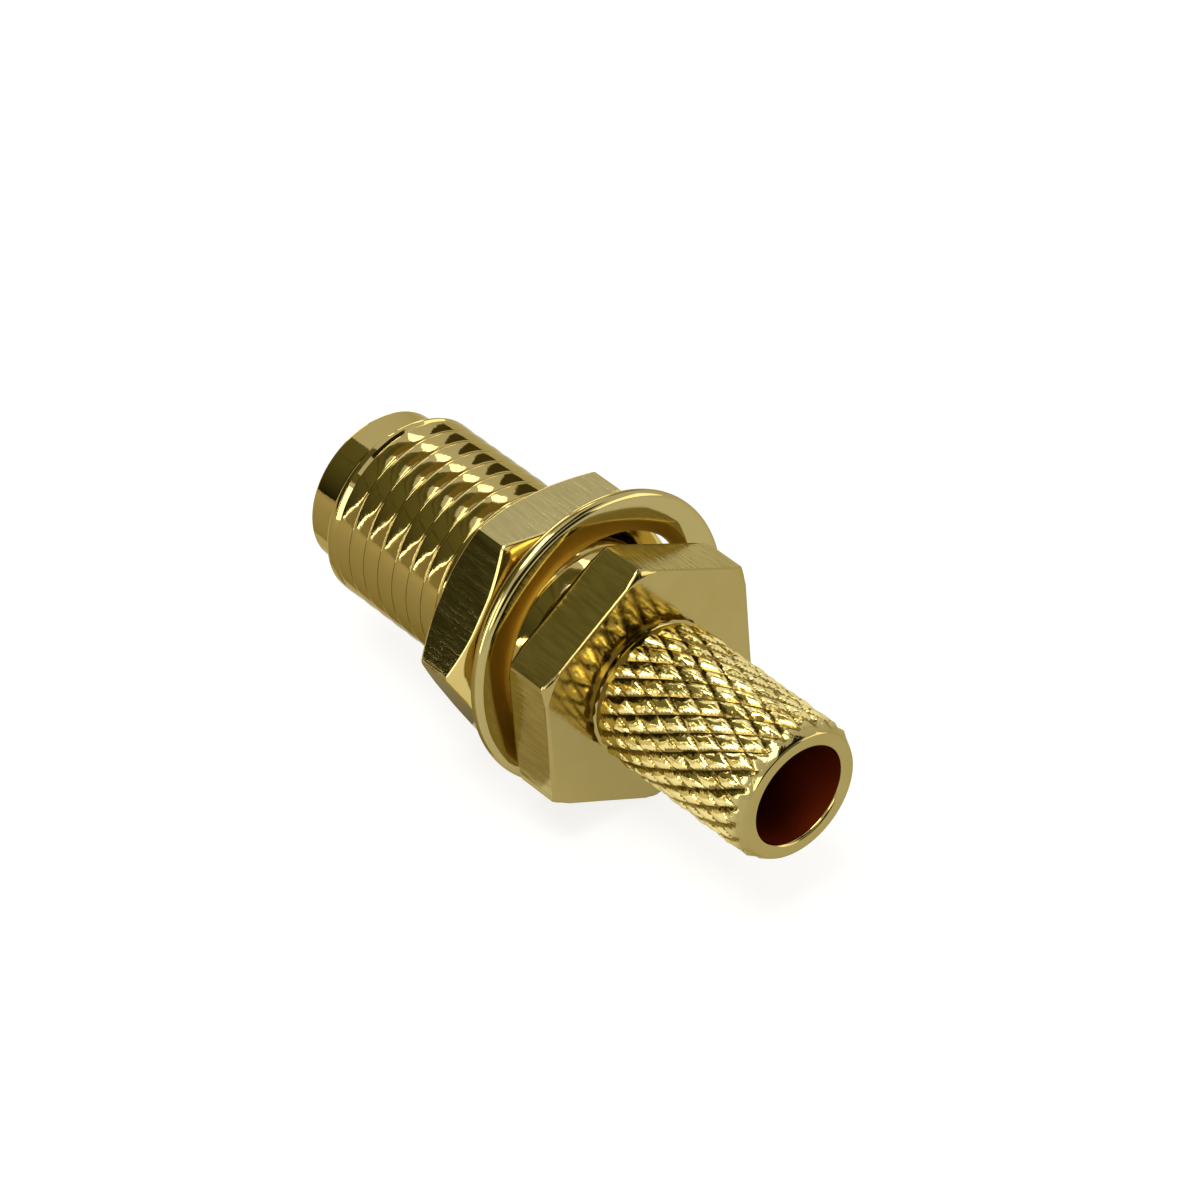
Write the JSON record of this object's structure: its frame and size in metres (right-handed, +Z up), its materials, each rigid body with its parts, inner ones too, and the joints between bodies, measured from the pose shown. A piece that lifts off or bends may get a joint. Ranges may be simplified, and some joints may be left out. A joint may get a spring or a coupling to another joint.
{
  "type": "coaxial crimp connector",
  "caption": "Bulkhead coaxial jack for a crimped cable: threaded barrel, hexagonal flange, knurled crimp tail, panel nut and washer.",
  "frame": {"origin": "on the axis, at the face of the hexagonal flange that seats on the panel, inside the cable bore", "axes": "+X along the axis towards the cable end, +Z up as the connector lies"},
  "size_m": [0.0201, 0.0098, 0.01],
  "materials": {
    "gold_plate": "bright pale gold plate over turned and milled brass",
    "washer_gold": "polished pale gold plate",
    "contact_gold": "polished gold plate",
    "ptfe": "smooth white PTFE"
  },
  "bodies": {
    "connector": {"connector_body": "gold_plate", "insulator": "ptfe", "centre_contact": "contact_gold"},
    "washer": {"washer": "washer_gold"},
    "nut": {"panel_nut": "gold_plate"}
  },
  "joints": [
    {"name": "washer_slide", "type": "slide", "parent": "connector", "child": "washer", "axis": [1, 0, 0], "range_m": [-0.0064, 0.0001]},
    {"name": "nut_turn", "type": "hinge", "parent": "washer", "child": "nut", "pos_m": [-0.003, 0, 0], "axis": [1, 0, 0], "range_deg": [-3270, 52]}
  ],
  "couplings": [
    {"joint": "nut_turn", "follows": "washer_slide", "rad_per_m": 8905.2}
  ]
}
